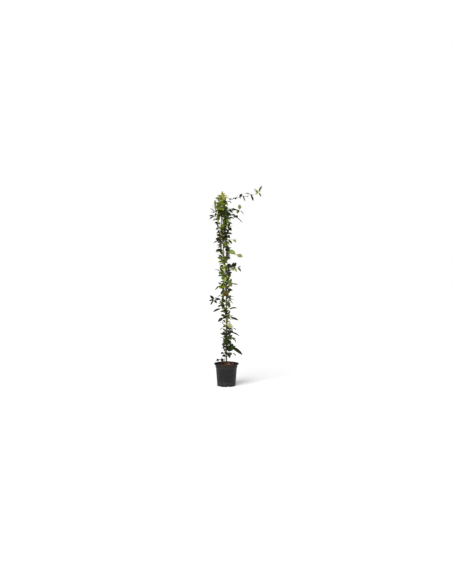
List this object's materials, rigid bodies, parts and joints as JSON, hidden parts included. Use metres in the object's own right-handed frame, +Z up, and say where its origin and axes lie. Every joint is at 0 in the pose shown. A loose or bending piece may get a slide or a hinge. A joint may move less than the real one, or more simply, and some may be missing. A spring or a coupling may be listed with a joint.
{
  "type": "potted star jasmine",
  "caption": "Tall evergreen climber twined up a bamboo cane, held by ties, in a black plastic nursery pot, with a long runner reaching out sideways at the top.",
  "frame": {"origin": "centre of the pot's base, on the surface that it stands on", "axes": "+Z up along the plant, -Y the front that the picture shows, +X to the right, where the runner points"},
  "size_m": [0.4, 0.188, 1.514],
  "materials": {
    "pot_plastic": "thin black nursery-pot plastic, satin, with faint vertical flow marks and dust",
    "potting_mix": "reddish brown composted bark and peat, crumbly and dull",
    "cane": "dry tan bamboo with raised joints and darker streaks",
    "bark": "dark brown woody vine bark, fissured along its length",
    "tie_plastic": "cream plastic plant tie, slightly shiny",
    "leaf": "leathery evergreen leaf, waxy dark green above, paler and duller beneath",
    "young_leaf": "thin young leaf, glossy yellow-green"
  },
  "bodies": {
    "root": {"pot": "pot_plastic", "potting_mix": "potting_mix", "bamboo_cane": "cane", "main_stem": "bark", "second_stem": "bark", "runner": "young_leaf", "tie_1": "tie_plastic", "tie_2": "tie_plastic", "tie_3": "tie_plastic", "tie_4": "tie_plastic", "leafy_shoot_01": "leaf", "leafy_shoot_02": "leaf", "leafy_shoot_03": "leaf", "leafy_shoot_04": "leaf", "leafy_shoot_05": "leaf", "leafy_shoot_06": "leaf", "leafy_shoot_07": "leaf", "leafy_shoot_08": "leaf", "leafy_shoot_09": "leaf", "leafy_shoot_10": "leaf", "leafy_shoot_11": "leaf", "leafy_shoot_12": "leaf", "leafy_shoot_13": "leaf", "leafy_shoot_14": "leaf", "leafy_shoot_15": "leaf", "leafy_shoot_16": "leaf", "leafy_shoot_17": "leaf", "leafy_shoot_18": "leaf", "leafy_shoot_19": "leaf", "leafy_shoot_20": "leaf", "leafy_shoot_21": "leaf", "leafy_shoot_22": "leaf", "leafy_shoot_23": "leaf", "leafy_shoot_24": "leaf", "leafy_shoot_25": "leaf", "leafy_shoot_26": "leaf", "leafy_shoot_27": "leaf", "leafy_shoot_28": "leaf", "leafy_shoot_29": "leaf", "leafy_shoot_30": "leaf", "leafy_shoot_31": "leaf", "leafy_shoot_32": "leaf", "leafy_shoot_33": "leaf", "leafy_shoot_34": "leaf", "leafy_shoot_35": "leaf", "leafy_shoot_36": "leaf", "leafy_shoot_37": "leaf", "leafy_shoot_38": "leaf", "leafy_shoot_39": "leaf", "leafy_shoot_40": "leaf", "leafy_shoot_41": "leaf", "leafy_shoot_42": "leaf", "leafy_shoot_43": "leaf", "leafy_shoot_44": "leaf", "leafy_shoot_45": "leaf", "leafy_shoot_46": "leaf", "leafy_shoot_47": "young_leaf", "leafy_shoot_48": "young_leaf", "leafy_shoot_49": "young_leaf", "leafy_shoot_50": "young_leaf"}
  },
  "joints": []
}
